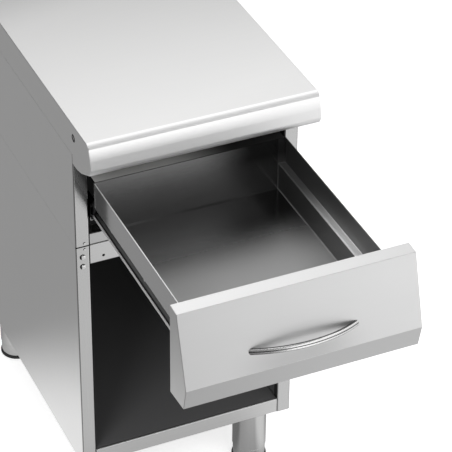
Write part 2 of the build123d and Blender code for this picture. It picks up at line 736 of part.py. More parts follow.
pieces = {
    "worktop_sheet": worktop_sheet, "worktop_core": worktop_core,
    "left_worktop_end": left_worktop_end, "right_worktop_end": right_worktop_end,
    "joint_hole_caps": joint_hole_caps,
    "left_upper_side_panel": left_upper_side_panel, "right_upper_side_panel": right_upper_side_panel,
    "upper_back_panel": upper_back_panel, "upper_front_rail": upper_front_rail, "upper_rear_rail": upper_rear_rail,
    "left_runner_bracket": left_runner_bracket, "right_runner_bracket": right_runner_bracket,
    "left_cabinet_runner": left_cabinet_runner, "right_cabinet_runner": right_cabinet_runner,
    "runner_screws": runner_screws,
    "cabinet_roller_axles": cabinet_roller_axles, "drawer_roller_axles": drawer_roller_axles,
    "left_drawer_runner": left_drawer_runner, "right_drawer_runner": right_drawer_runner,
    "drawer_tub": drawer_tub, "drawer_front_skin": drawer_front_skin, "drawer_front_ends": drawer_front_ends,
    "drawer_front_back": drawer_front_back, "front_fixing_screws": front_fixing_screws,
    "bow_handle": bow_handle, "handle_screws": handle_screws, "drawer_buffers": drawer_buffers,
    "runner_rivets": runner_rivets,
    "left_base_side_panel": left_base_side_panel, "right_base_side_panel": right_base_side_panel,
    "base_back_panel": base_back_panel, "base_front_rail": base_front_rail, "base_rear_rail": base_rear_rail,
    "bottom_shelf": bottom_shelf, "shelf_beams": shelf_beams,
    "left_niche_lining": left_niche_lining, "right_niche_lining": right_niche_lining,
    "niche_back_lining": niche_back_lining,
    "module_bolts": module_bolts, "module_nuts": module_nuts,
    "post_rivets": post_rivets,
    "leg_plates": leg_plates, "leg_screws": leg_screws, "leg_inserts": leg_inserts,
}
for name, piece in pieces.items():
    piece.part.label = name
    export_step(piece.part, f"parts/{name}.step")

for name, part in leg_parts.items():
    part.label = name
    export_step(part, f"parts/{name}.step")

# right rollers are mirrored
for name, part in rollers.items():
    for prefix in ("left", "right"):
        solid = part if prefix == "left" else mirror(part, about=Plane.YZ, mode=Mode.PRIVATE)
        solid.label = name.replace("left", prefix)
        export_step(solid, f"parts/{solid.label}.step")

low = [min(tuple(p.part.bounding_box().min)[i] for p in pieces.values()) for i in range(3)]
high = [max(tuple(p.part.bounding_box().max)[i] for p in pieces.values()) for i in range(3)]
print("outline", [round(v, 2) for v in low], [round(v, 2) for v in high], len(pieces) + len(leg_parts) + 2 * len(rollers), "files")
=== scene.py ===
import math

import bmesh
import bpy
from mathutils import Matrix, Vector

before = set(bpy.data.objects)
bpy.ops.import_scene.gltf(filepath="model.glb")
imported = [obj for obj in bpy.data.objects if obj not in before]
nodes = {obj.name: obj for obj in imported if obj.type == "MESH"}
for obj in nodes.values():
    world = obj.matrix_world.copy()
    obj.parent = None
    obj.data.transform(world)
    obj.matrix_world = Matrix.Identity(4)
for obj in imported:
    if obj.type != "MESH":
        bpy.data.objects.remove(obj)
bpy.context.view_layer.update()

scene = bpy.context.scene

# ---------------------------------------------------------------------------
# camera: long lens, looking down on the unit from its front left
# ---------------------------------------------------------------------------
RIGHT = Vector((0.913523, -0.406695, 0.008690))
UP = Vector((0.229708, 0.533368, 0.814096))
AHEAD = Vector((0.335723, 0.741699, -0.580665))
EYE = Vector((-1.212371, -2.881036, 2.792449))
cam_data = bpy.data.cameras.new("camera")
cam_data.sensor_width = 36.0
cam_data.lens = 2265.618 * 36.0 / 452.0
cam_data.clip_start, cam_data.clip_end = 0.1, 60.0
cam = bpy.data.objects.new("camera", cam_data)
scene.collection.objects.link(cam)
m = Matrix.Identity(4)
for i in range(3):
    m[i][0], m[i][1], m[i][2], m[i][3] = RIGHT[i], UP[i], -AHEAD[i], EYE[i]
cam.matrix_world = m
scene.camera = cam

scene.view_settings.view_transform = "Standard"
scene.view_settings.look = "None"
scene.view_settings.exposure = 0.0
scene.view_settings.gamma = 1.0

# ---------------------------------------------------------------------------
# node helpers
# ---------------------------------------------------------------------------


class Net:
    """A material's node tree with short calls to grow it."""

    def __init__(self, name):
        self.mat = bpy.data.materials.new(name)
        self.mat.use_nodes = True
        self.tree = self.mat.node_tree
        self.bsdf = self.tree.nodes["Principled BSDF"]
        self.coord = None

    def add(self, kind, **props):
        n = self.tree.nodes.new(kind)
        for k, v in props.items():
            setattr(n, k, v)
        return n

    def link(self, a, b):
        self.tree.links.new(a, b)

    def obj(self):
        if self.coord is None:
            self.coord = self.add("ShaderNodeTexCoord")
        return self.coord.outputs["Object"]

    def mapped(self, scale, rotation=(0, 0, 0), location=(0, 0, 0)):
        n = self.add("ShaderNodeMapping")
        n.inputs["Scale"].default_value = scale
        n.inputs["Rotation"].default_value = rotation
        n.inputs["Location"].default_value = location
        self.link(self.obj(), n.inputs["Vector"])
        return n.outputs["Vector"]

    def noise(self, vector, scale=1.0, detail=2.0, rough=0.5, distortion=0.0):
        n = self.add("ShaderNodeTexNoise")
        n.inputs["Scale"].default_value = scale
        n.inputs["Detail"].default_value = detail
        n.inputs["Roughness"].default_value = rough
        n.inputs["Distortion"].default_value = distortion
        self.link(vector, n.inputs["Vector"])
        return n.outputs["Fac"]

    def span(self, value, lo, hi, a=0.0, b=1.0, smooth=False):
        n = self.add("ShaderNodeMapRange")
        n.interpolation_type = "SMOOTHSTEP" if smooth else "LINEAR"
        n.inputs["From Min"].default_value = lo
        n.inputs["From Max"].default_value = hi
        n.inputs["To Min"].default_value = a
        n.inputs["To Max"].default_value = b
        self.link(value, n.inputs["Value"])
        return n.outputs["Result"]

    def math(self, op, a, b=None, clamp=False):
        n = self.add("ShaderNodeMath", operation=op, use_clamp=clamp)
        for i, v in enumerate((a, b)):
            if v is None:
                continue
            if isinstance(v, (int, float)):
                n.inputs[i].default_value = v
            else:
                self.link(v, n.inputs[i])
        return n.outputs[0]

    def mix(self, fac, a, b):
        n = self.add("ShaderNodeMix", data_type="RGBA")
        for key, v in ((0, fac), (6, a), (7, b)):
            if isinstance(v, (int, float)):
                n.inputs[key].default_value = v
            elif isinstance(v, tuple):
                n.inputs[key].default_value = (*v, 1.0) if len(v) == 3 else v
            else:
                self.link(v, n.inputs[key])
        return n.outputs[2]

    def xyz(self):
        n = self.add("ShaderNodeSeparateXYZ")
        self.link(self.obj(), n.inputs[0])
        return n.outputs

    def bump(self, height, strength, distance):
        n = self.add("ShaderNodeBump")
        n.inputs["Strength"].default_value = strength
        n.inputs["Distance"].default_value = distance
        self.link(height, n.inputs["Height"])
        self.link(n.outputs["Normal"], self.bsdf.inputs["Normal"])
        return n


def grey(v, warm=0.0):
    return (v + warm, v + warm * 0.4, v - warm)


def brushed(name, value, rough, grain="y", contrast=0.05, bump=0.12, aniso=0.35, cloud=0.03, warm=0.002, fine=1.0):
    """Ground stainless sheet: long hairlines along one axis, slight cloudiness in gloss."""
    n = Net(name)
    along, across = 5.0, 1500.0 * fine
    scales = {"x": (along, across, across), "y": (across, along, across), "z": (across, across, along)}[grain]
    hair = n.noise(n.mapped(scales), 1.0, 3.0, 0.6)
    coarse_scales = tuple(s * 0.22 for s in scales)
    broad = n.noise(n.mapped(coarse_scales, location=(3.1, 1.7, 0.4)), 1.0, 2.0, 0.5)
    clouds = n.noise(n.mapped((6, 6, 6), location=(0.3, 5.2, 2.2)), 1.0, 3.0, 0.55)
    lines = n.math("ADD", n.math("MULTIPLY", hair, 0.6), n.math("MULTIPLY", broad, 0.4))
    tone = n.span(lines, 0.3, 0.7)
    n.link(n.mix(tone, grey(value * (1 - contrast), warm), grey(min(value * (1 + contrast), 1.0), warm)), n.bsdf.inputs["Base Color"])
    n.bsdf.inputs["Metallic"].default_value = 1.0
    r = n.math("ADD", n.span(clouds, 0.3, 0.7, rough - cloud, rough + cloud), n.span(lines, 0.3, 0.7, -0.02, 0.02))
    n.link(r, n.bsdf.inputs["Roughness"])
    if aniso:
        n.bsdf.inputs["Anisotropic"].default_value = aniso
        t = n.add("ShaderNodeCombineXYZ")
        for i, a in enumerate("xyz"):
            t.inputs[i].default_value = 1.0 if a == grain else 0.0
        n.link(t.outputs[0], n.bsdf.inputs["Tangent"])
    n.bump(lines, bump, 0.00003)
    return n


# ---------------------------------------------------------------------------
# materials
# ---------------------------------------------------------------------------
TUB_VALUE, TUB_ROUGH = 0.64, 0.17
TUB_RIGHT = (0.08, 0.21, 0.25)     # right inner wall of the drawer, painted shade: value at the back, at the front, matt share
# drawer floor, painted shade: value at the back, further forward, at the front
TUB_FLOOR = (0.34, 0.41, 0.44)
# painted shade at the rivets' foot: from y, to y
RIVET_FOOT = (-0.0497, -0.0493)
NOSE_VALUE, NOSE_ROUGH = 0.95, 0.50
# painted light on the drawer front: face value on the left and on the right, value of the lower bevel
FACE_LEFT, FACE_RIGHT, BEVEL = 0.615, 0.735, 0.68 
# value of the painted shade in the niche linings and in the shelf tray
LINING = 0.10
legs_mat = brushed("leg_steel", 0.72, 0.16, grain="z", contrast=0.03, bump=0.05).mat
foot_mat = brushed("foot_steel", 0.70, 0.22, grain="z", contrast=0.03, bump=0.05).mat
rivet = brushed("fastener_steel", 0.74, 0.16, grain="x", aniso=0.0, bump=0.02, contrast=0.02).mat
zinc = brushed("slide_steel", 0.56, 0.28, grain="y", contrast=0.05).mat
inner = brushed("inner_steel", 0.40, 0.42, grain="y").mat


def recolour(n, mask, colour):
    base = n.bsdf.inputs["Base Color"].links[0].from_socket
    n.link(n.mix(mask, base, colour), n.bsdf.inputs["Base Color"])


def reroughen(n, mask, value):
    """Blend the roughness towards another value where the mask is 1."""
    old = n.bsdf.inputs["Roughness"].links[0].from_socket
    keep = n.math("MULTIPLY", old, n.math("SUBTRACT", 1.0, mask))
    n.link(n.math("ADD", keep, n.math("MULTIPLY", mask, value)), n.bsdf.inputs["Roughness"])


def worktop_steel():
    """Satin top, painted darker at the back left and brighter towards the front as painted reflection; the rolled nose
    is ground a little coarser and painted brighter as a painted highlight, and a painted highlight runs along the
    top's front edge.
    """
    n = brushed("worktop_steel", 0.80, 0.31, grain="x", contrast=0.012, bump=0.03, cloud=0.012)
    x, y, z = n.xyz()
    base = n.bsdf.inputs["Base Color"].links[0].from_socket
    # painted reflection: the top's colour is scaled darker at the back left and brighter towards the front
    painted_light_ramp = n.span(n.math("ADD", n.math("MULTIPLY", x, -0.25), y), -0.08, 0.47, 1.0, 0.0)
    tone = n.add("ShaderNodeVectorMath", operation="SCALE")
    n.link(base, tone.inputs[0])
    n.link(n.math("ADD", n.span(painted_light_ramp, 0.0, 0.35, 0.70, 0.94, smooth=True), n.span(painted_light_ramp, 0.35, 1.0, 0.0, 0.15)), tone.inputs["Scale"])
    n.link(tone.outputs[0], n.bsdf.inputs["Base Color"])
    # painted highlight: the nose is painted brighter than the top, and its roughness is raised
    nose = n.math("MULTIPLY", n.span(y, -0.062, -0.070), n.span(z, 0.842, 0.834))
    recolour(n, nose, (NOSE_VALUE, NOSE_VALUE, NOSE_VALUE))
    reroughen(n, nose, NOSE_ROUGH)
    # painted highlight: a near-white strip along the front edge of the top
    edge = n.math("MULTIPLY", n.span(y, -0.1105, -0.1140, smooth=True), n.math("GREATER_THAN", z, 0.8440))
    recolour(n, edge, (0.98, 0.98, 0.98))
    bend = n.math("MULTIPLY", n.span(y, -0.1165, -0.1180), n.math("GREATER_THAN", z, 0.8440))
    reroughen(n, bend, 0.62)
    return n.mat


def panel_steel():
    """Satin sheet; the narrow front edges of the housings are rolled smoother. Painted shade and painted reflection
    darken the top of the left post fronts, the inside faces, the corner line beside the posts and the seam.
    """
    n = brushed("panel_steel", 0.76, 0.30, grain="z", contrast=0.02, bump=0.05, cloud=0.015)
    x, y, z = n.xyz()
    edge = n.math("LESS_THAN", y, -0.0472)
    reroughen(n, edge, 0.17)
    # painted reflection: a dark sloping band at the top of the left post front, where the drawer side is mirrored
    painted_reflection_slope = n.math("SUBTRACT", z, n.math("MULTIPLY", n.math("SUBTRACT", n.math("ABSOLUTE", x), 0.176), 2.7))
    recolour(n, n.math("MULTIPLY", n.math("MULTIPLY", edge, n.math("LESS_THAN", x, 0.0)), n.span(painted_reflection_slope, 0.702, 0.728, smooth=True)), (0.36, 0.36, 0.36))
    # painted shade: the inside faces of the housing are near black, matt and not metallic
    inside = n.math("MULTIPLY", n.math("MULTIPLY", n.math("LESS_THAN", n.math("ABSOLUTE", x), 0.1992), n.math("GREATER_THAN", y, -0.0440)), n.math("LESS_THAN", y, 0.45))
    recolour(n, inside, (0.02, 0.02, 0.02))
    reroughen(n, inside, 0.85)
    n.link(n.math("SUBTRACT", 1.0, inside), n.bsdf.inputs["Metallic"])
    recolour(n, n.math("MULTIPLY", edge, n.math("GREATER_THAN", x, 0.0)), (0.68, 0.68, 0.68))
    # painted shade: a dark line on the side panels at the corner beside the post front
    corner = n.math("MULTIPLY", n.math("GREATER_THAN", n.math("ABSOLUTE", x), 0.1984), n.span(y, -0.0458, -0.0466))
    recolour(n, corner, (0.30, 0.30, 0.30))
    # painted shade: a dark line along the seam between the upper and base posts
    seam = n.math("MULTIPLY", n.math("LESS_THAN", n.math("ABSOLUTE", n.math("SUBTRACT", z, 0.605)), 0.0012), n.math("LESS_THAN", y, -0.0460))
    recolour(n, seam, (0.03, 0.03, 0.03))
    return n.mat


def rail_steel():
    """Satin rails; the upper rail is painted darker and their ends are painted dark, both painted shade."""
    n = brushed("rail_steel", 0.78, 0.30, grain="x", contrast=0.02, bump=0.05, cloud=0.015)
    x, y, z = n.xyz()
    # painted shade: the upper front rail is painted darker
    recolour(n, n.math("GREATER_THAN", z, 0.6052), (0.66, 0.66, 0.66))
    # painted shade: the rail ends beside the posts are painted near black
    recolour(n, n.math("GREATER_THAN", n.math("ABSOLUTE", x), 0.1747), (0.02, 0.02, 0.02))
    return n.mat


def front_steel():
    n = brushed("drawer_front_steel", 0.76, 0.46, grain="x", contrast=0.015, bump=0.04, cloud=0.012)
    x, y, z = n.xyz()
    # painted light: the face is painted darker on the left and lighter on the right
    side = n.span(x, -0.2, 0.2)
    face = n.math("MULTIPLY", n.math("GREATER_THAN", z, 0.6455), n.math("LESS_THAN", z, 0.7642))
    recolour(n, face, n.mix(side, (FACE_LEFT, FACE_LEFT, FACE_LEFT), (FACE_RIGHT, FACE_RIGHT, FACE_RIGHT)))
    # painted shade: the lower middle of the face, below the handle, is painted darker
    low = n.math("MULTIPLY", n.span(z, 0.690, 0.655, smooth=True), n.span(n.math("ABSOLUTE", n.math("ADD", x, 0.01)), 0.13, 0.02, smooth=True))
    recolour(n, n.math("MULTIPLY", face, low), (0.53, 0.53, 0.53))
    # painted shade: the lower bevel is painted with its own darker value
    recolour(n, n.math("LESS_THAN", z, 0.6448), (BEVEL, BEVEL, BEVEL))
    # painted highlight: the strip along the top is painted near white on the left, fading to the right
    recolour(n, n.math("GREATER_THAN", z, 0.7648), n.mix(side, (0.99, 0.99, 0.99), (0.83, 0.83, 0.83)))
    return n.mat


def tub_steel():
    """Smoother sheet than the outside; duller on the flange at the back. Shade, reflections and highlights inside the
    drawer are painted into its colour.
    """
    n = brushed("drawer_tub_steel", TUB_VALUE, TUB_ROUGH, grain="y", contrast=0.02, bump=0.02, cloud=0.015, aniso=0.2)
    x, y, z = n.xyz()
    outer = n.math("MULTIPLY", n.math("GREATER_THAN", n.math("ABSOLUTE", x), 0.1702), n.math("LESS_THAN", z, 0.7372))
    recolour(n, outer, (0.59, 0.59, 0.59))
    reroughen(n, outer, 0.14)
    # painted shade: the right inner wall is painted dark, darkest at the back
    right = n.math("MULTIPLY", n.math("GREATER_THAN", x, 0.1560), n.math("LESS_THAN", x, 0.1702))
    recolour(n, right, n.mix(n.span(y, -0.10, -0.38), (TUB_RIGHT[0],) * 3, (TUB_RIGHT[1],) * 3))
    # painted highlight: the right ledge is painted bright towards the front, fading to dark at the back
    ledge = n.math("MULTIPLY", right, n.math("MULTIPLY", n.math("GREATER_THAN", z, 0.6866), n.math("LESS_THAN", z, 0.6899)))
    recolour(n, ledge, n.mix(n.span(y, -0.13, -0.33, smooth=True), (0.12,) * 3, (0.97,) * 3))
    # painted shade: the back wall is painted darker towards the bottom
    back = n.math("MULTIPLY", n.math("GREATER_THAN", y, -0.0660), n.math("LESS_THAN", n.math("ABSOLUTE", x), 0.1702))
    recolour(n, back, n.mix(n.span(z, 0.645, 0.715, smooth=True), (TUB_VALUE * 0.72,) * 3, (TUB_VALUE * 1.05,) * 3))
    # painted shade: a dark patch in the right back corner of the drawer
    corner = n.math("MULTIPLY", n.math("MULTIPLY", back, n.span(x, 0.00, 0.11, smooth=True)), n.span(z, 0.645, 0.710, 0.55, 1.0))
    recolour(n, corner, (0.045,) * 3)
    # painted shade: the floor is painted darker at the back and lighter towards the front, where it is also rougher
    bottom = n.math("LESS_THAN", z, 0.6405)
    rise = n.span(y, -0.12, -0.28, smooth=True)
    painted_light_floor_front = n.math("MULTIPLY", bottom, rise)
    low = n.mix(n.span(y, -0.066, -0.14, smooth=True), (TUB_FLOOR[0],) * 3, (TUB_FLOOR[1],) * 3)
    recolour(n, bottom, n.mix(rise, low, (TUB_FLOOR[2],) * 3))
    # painted light: the strip where the floor meets the back wall is painted lighter on the left, darker on the right
    recolour(n, n.math("MULTIPLY", bottom, n.math("GREATER_THAN", y, -0.0674)), n.mix(n.span(x, -0.12, 0.05), (0.50,) * 3, (0.26,) * 3))
    reroughen(n, painted_light_floor_front, 0.50)
    reroughen(n, n.math("SUBTRACT", right, ledge), 0.35)
    reroughen(n, ledge, 0.50)
    # painted reflection: the rear flange is painted light on the left, fading to near black on the right
    flange = n.math("MULTIPLY", n.math("GREATER_THAN", y, -0.0632), n.math("GREATER_THAN", z, 0.7355))
    recolour(n, flange, n.mix(n.span(x, -0.05, 0.08, smooth=True), (0.50, 0.50, 0.49), (0.02, 0.02, 0.02)))
    reroughen(n, flange, 0.62)
    # painted shade: a dark line along the bend of the rear flange
    crease = n.math("MULTIPLY", n.math("LESS_THAN", n.math("ABSOLUTE", n.math("SUBTRACT", y, -0.0632)), 0.00075), n.math("GREATER_THAN", z, 0.7345))
    recolour(n, n.math("MULTIPLY", crease, n.math("LESS_THAN", n.math("ABSOLUTE", x), 0.1690)), (0.02, 0.02, 0.02))
    # painted highlight: the top of the left rim is painted light
    rim = n.math("MULTIPLY", n.math("MULTIPLY", n.math("GREATER_THAN", z, 0.7364), n.math("LESS_THAN", x, -0.1690)), n.math("LESS_THAN", y, -0.0660))
    recolour(n, rim, (0.86, 0.86, 0.86))
    reroughen(n, rim, 0.45)
    wall = n.math("MULTIPLY", n.math("SUBTRACT", right, ledge), TUB_RIGHT[2])
    parts = [n.math("MULTIPLY", flange, 0.75), n.math("MULTIPLY", rim, 0.55), n.math("MULTIPLY", ledge, 0.55), n.math("MULTIPLY", painted_light_floor_front, 0.6), n.math("MULTIPLY", corner, 0.14)]
    dull = wall
    for part in parts:
        dull = n.math("MAXIMUM", dull, part)
    n.link(n.math("SUBTRACT", 1.0, dull), n.bsdf.inputs["Metallic"])
    return n.mat


def runner_steel():
    """Plated channel, painted dark as shade except on its lower flange strip and front tip; the lower flange strip
    carries a painted highlight.
    """
    n = brushed("slide_steel", 0.60, 0.30, grain="y", contrast=0.03)
    x, y, z = n.xyz()
    ax = n.math("ABSOLUTE", x)
    strip = n.math("MULTIPLY", n.math("LESS_THAN", z, 0.6524), n.math("LESS_THAN", ax, 0.1642))
    strip = n.math("MULTIPLY", strip, n.math("GREATER_THAN", ax, 0.1609))
    tip = n.math("MULTIPLY", n.math("MULTIPLY", n.math("GREATER_THAN", ax, 0.1650), n.math("LESS_THAN", z, 0.6560)), n.math("LESS_THAN", y, -0.0395))
    not_painted_dark = n.math("MAXIMUM", strip, tip)
    # painted shade: the runner is painted near black outside the strip and the tip
    recolour(n, n.math("SUBTRACT", 1.0, not_painted_dark), (0.030, 0.030, 0.030))
    # painted highlight: the lower flange strip is painted near white and made partly matt
    recolour(n, strip, (0.98, 0.98, 0.98))
    reroughen(n, strip, 0.45)
    n.link(n.math("SUBTRACT", 1.0, n.math("MULTIPLY", strip, 0.65)), n.bsdf.inputs["Metallic"])
    return n.mat


def handle_metal():
    """Bright bow; the dark lines in its groove and along its upper edge and the duller lower edge are painted
    reflection and shade.
    """
    n = brushed("handle_metal", 0.82, 0.24, grain="x", contrast=0.01, bump=0.02, aniso=0.2)
    x, y, z = n.xyz()
    up = n.math("SUBTRACT", n.math("ADD", n.math("MULTIPLY", y, 0.28), n.math("MULTIPLY", z, 0.96)), 0.51458)
    groove = n.math("LESS_THAN", n.math("ABSOLUTE", up), 0.0007)
    # painted reflection and shade: dark lines in the groove and along the upper edge, a duller lower edge
    recolour(n, groove, (0.10, 0.10, 0.10))
    recolour(n, n.span(up, 0.0042, 0.0046), (0.12, 0.12, 0.12))
    recolour(n, n.span(up, -0.0030, -0.0040), (0.45, 0.45, 0.45))
    return n.mat


def rivet_steel():
    """Bright domes with painted shade: a dark foot where they meet the sheet, and dark on their left side."""
    n = brushed("rivet_steel", 0.92, 0.12, grain="x", aniso=0.0, bump=0.02, contrast=0.02)
    x, y, z = n.xyz()
    small = n.math("LESS_THAN", n.math("ABSOLUTE", n.math("SUBTRACT", z, 0.605)), 0.0095)
    foot = n.math("SUBTRACT", y, n.math("MULTIPLY", small, 0.0006))
    # painted shade: a dark foot around each rivet
    recolour(n, n.span(foot, RIVET_FOOT[0], RIVET_FOOT[1]), (0.015, 0.015, 0.015))
    # painted reflection: the left side of the large rivets on the left post is painted dark
    side = n.span(n.math("ADD", x, 0.1882), -0.0018, -0.0034)
    recolour(n, n.math("MULTIPLY", n.math("MULTIPLY", side, n.math("LESS_THAN", x, 0.0)), n.math("SUBTRACT", 1.0, small)), (0.04, 0.04, 0.04))
    return n.mat


def cheek_steel():
    """End plate, with painted shade in the wall of the hole and on its upper front rim."""
    n = brushed("worktop_end_steel", 0.76, 0.30, grain="y", contrast=0.015, bump=0.04, cloud=0.012)
    x, y, z = n.xyz()
    dy, dz = n.math("SUBTRACT", y, -0.0558), n.math("SUBTRACT", z, 0.8257)
    r = n.math("SQRT", n.math("ADD", n.math("POWER", dy, 2.0), n.math("POWER", dz, 2.0)))
    front = n.math("GREATER_THAN", n.math("SUBTRACT", dz, dy), 0.0)
    # painted shade: the hole wall and a thin rim at its upper front are near black and matt
    dark = n.math("LESS_THAN", r, n.math("ADD", 0.00642, n.math("MULTIPLY", front, 0.0007)))
    recolour(n, dark, (0.010, 0.010, 0.010))
    reroughen(n, dark, 0.90)
    n.link(n.math("SUBTRACT", 1.0, dark), n.bsdf.inputs["Metallic"])
    return n.mat


def cap_steel():
    """Bright plug with painted shade: a dark crescent on one side, around a bright disc off the middle of the hole."""
    n = brushed("cap_steel", 0.80, 0.30, grain="x", aniso=0.0, bump=0.02, contrast=0.02)
    x, y, z = n.xyz()
    # painted shade: outside a bright disc off the middle of the hole, the plug is near black and matt
    off = n.math("ADD", n.math("POWER", n.math("SUBTRACT", y, -0.0498), 2.0), n.math("POWER", n.math("SUBTRACT", z, 0.8232), 2.0))
    painted_shade_crescent = n.math("GREATER_THAN", off, 0.0057 ** 2)
    recolour(n, painted_shade_crescent, (0.008, 0.008, 0.008))
    reroughen(n, painted_shade_crescent, 0.90)
    n.link(n.math("SUBTRACT", 1.0, painted_shade_crescent), n.bsdf.inputs["Metallic"])
    return n.mat


def hidden_steel():
    """Plated steel inside the housing, painted dark as shade."""
    n = brushed("bracket_steel", 0.10, 0.40, grain="y", contrast=0.05)
    return n.mat


def front_back_steel():
    """Dull ground inner sheet of the drawer front."""
    n = brushed("drawer_front_back_steel", 0.86, 0.45, grain="x", contrast=0.03)
    n.bsdf.inputs["Metallic"].default_value = 0.35
    return n.mat


def nylon():
    n = Net("roller_nylon")
    grain = n.noise(n.mapped((300, 300, 300)), 1.0, 2.0, 0.5)
    n.link(n.mix(n.span(grain, 0.3, 0.7), (0.020, 0.020, 0.021), (0.028, 0.028, 0.029)), n.bsdf.inputs["Base Color"])
    n.link(n.span(grain, 0.3, 0.7, 0.40, 0.50), n.bsdf.inputs["Roughness"])
    n.bump(grain, 0.1, 0.0001)
    return n.mat


# painted shade: the niche linings are near black, standing in for the shade inside the open base
def painted_shade_lining():
    n = Net("dark_lining")
    grain = n.noise(n.mapped((420, 420, 420)), 1.0, 3.0, 0.6)
    cloud = n.noise(n.mapped((5, 5, 5)), 1.0, 2.0, 0.5)
    n.link(n.mix(n.span(cloud, 0.3, 0.7), (LINING * 0.9, LINING * 0.9, LINING * 0.91), (LINING * 1.1, LINING * 1.1, LINING * 1.11)), n.bsdf.inputs["Base Color"])
    x, y, z = n.xyz()
    # painted shade: the back lining is painted darker towards the top
    recolour(n, n.math("MULTIPLY", n.math("GREATER_THAN", y, 0.49), n.span(z, 0.10, 0.30, smooth=True)), (LINING * 0.12,) * 3)
    n.link(n.span(grain, 0.3, 0.7, 0.50, 0.60), n.bsdf.inputs["Roughness"])
    n.bsdf.inputs["Specular IOR Level"].default_value = 0.35
    n.bump(grain, 0.25, 0.0002)
    return n.mat


def shelf_pan():
    """Steel lip outside; behind the front bend the tray is painted dark and matt as painted shade, and its ends are
    painted dark.
    """
    n = brushed("shelf_steel", 0.74, 0.33, grain="x")
    x, y, z = n.xyz()
    # painted shade: the tray behind the front bend takes the lining value and is not metallic
    inside = n.math("MULTIPLY", n.math("GREATER_THAN", y, -0.0445), n.math("GREATER_THAN", z, 0.1598))
    base = n.bsdf.inputs["Base Color"].links[0].from_socket
    n.link(n.mix(inside, base, (LINING, LINING, LINING * 1.01)), n.bsdf.inputs["Base Color"])
    n.link(n.math("SUBTRACT", 1.0, inside), n.bsdf.inputs["Metallic"])
    # painted shade: the shelf ends beside the posts are painted near black
    recolour(n, n.math("GREATER_THAN", n.math("ABSOLUTE", x), 0.1747), (0.02, 0.02, 0.02))
    return n.mat


def rubber():
    n = Net("rubber")
    grain = n.noise(n.mapped((900, 900, 900)), 1.0, 2.0, 0.6)
    n.link(n.mix(n.span(grain, 0.3, 0.7), (0.018, 0.018, 0.018), (0.030, 0.030, 0.030)), n.bsdf.inputs["Base Color"])
    n.link(n.span(grain, 0.3, 0.7, 0.62, 0.75), n.bsdf.inputs["Roughness"])
    n.bump(grain, 0.2, 0.0003)
    return n.mat


def board():
    n = Net("board")
    chips = n.noise(n.mapped((160, 160, 420)), 1.0, 4.0, 0.7)
    n.link(n.mix(n.span(chips, 0.3, 0.7), (0.035, 0.034, 0.032), (0.060, 0.058, 0.055)), n.bsdf.inputs["Base Color"])
    n.link(n.span(chips, 0.3, 0.7, 0.75, 0.9), n.bsdf.inputs["Roughness"])
    n.bump(chips, 0.4, 0.0005)
    return n.mat


lining_mat, shelf_mat, rubber_mat, board_mat = painted_shade_lining(), shelf_pan(), rubber(), board()
tub, runner, nylon_mat = tub_steel(), runner_steel(), nylon()
worktop, panel, front, rail = worktop_steel(), panel_steel(), front_steel(), rail_steel()
bracket, front_back = hidden_steel(), front_back_steel()
rivets, cheek, caps, handle = rivet_steel(), cheek_steel(), cap_steel(), handle_metal()
# painted shade: the drawer front's end plates are a darker copy of the front steel
front_end = brushed("drawer_front_end_steel", 0.60, 0.30, grain="z", contrast=0.015, bump=0.04, cloud=0.012).mat

LOOK = {
    "worktop_sheet": worktop, "left_worktop_end": cheek, "right_worktop_end": cheek, "worktop_core": board_mat,
    "joint_hole_caps": caps, "post_rivets": rivets,
    "left_upper_side_panel": panel, "right_upper_side_panel": panel, "left_base_side_panel": panel, "right_base_side_panel": panel,
    "upper_back_panel": panel, "base_back_panel": panel,
    "upper_front_rail": rail, "base_front_rail": rail, "upper_rear_rail": inner, "base_rear_rail": inner,
    "left_runner_bracket": bracket, "right_runner_bracket": bracket,
    "drawer_tub": tub, "drawer_front_skin": front, "drawer_front_ends": front_end, "drawer_front_back": front_back,
    "bow_handle": handle, "bottom_shelf": shelf_mat, "shelf_beams": zinc, "leg_plates": zinc, "leg_inserts": zinc,
    "left_niche_lining": lining_mat, "right_niche_lining": lining_mat, "niche_back_lining": lining_mat,
    "drawer_buffers": rubber_mat,
}
for name, o in nodes.items():
    if name in LOOK:
        mat = LOOK[name]
    elif name.endswith("_pad"):
        mat = rubber_mat
    elif name.endswith("_leg"):
        mat = legs_mat
    elif name.endswith("_foot"):
        mat = foot_mat
    elif name.endswith("_roller"):
        mat = nylon_mat
    elif name.endswith("_runner"):
        mat = runner
    elif name.endswith("_axles"):
        mat = zinc
    else:
        mat = rivet
    o.data.materials.clear()
    o.data.materials.append(mat)

# ---------------------------------------------------------------------------
# floor, light
# ---------------------------------------------------------------------------
FLOOR_BACK = 0.35                         # what reflections see of the floor behind and to the left
FLOOR_FRONT = (0.02, -0.30, 0.58)         # in front: from y, to y, value there
FLOOR_FAR = (-1.2, -4.0, 1.05)            # far in front
FLOOR_SIDE = (-0.26, 0.13, 0.08, 0.60, 1.00)    # bright patch beside the left panel: centre, radii, value
FLOOR_UNDER = (0.22, 0.36, 0.18)          # below the unit: radii about (0, 0.24), value
FLOOR_LEFT = 0.15                         # factor in front on the left
FLOOR_RIGHT = 0.75                        # in front on the right
FLOOR_LIFT = 0.55
SKY_FRONT = (1.70, 0.12, 0.15)           # at the horizon, and half way up on the left and right
SKY_BACK = (0.30, 0.85)
SKY_LEFT, SKY_RIGHT = 0.45, 1.15          # factors at the two sides
SKY_TOP = 1.00
BOX_POWER = 3.6
FILL_POWER = 30.0
LEFT_POWER = 30.0
KEY_POWER = 8.0
floor_mesh = bpy.data.meshes.new("floor")
bm = bmesh.new()
bmesh.ops.create_grid(bm, x_segments=2, y_segments=2, size=9.0)
bm.to_mesh(floor_mesh)
bm.free()
floor = bpy.data.objects.new("floor", floor_mesh)
scene.collection.objects.link(floor)

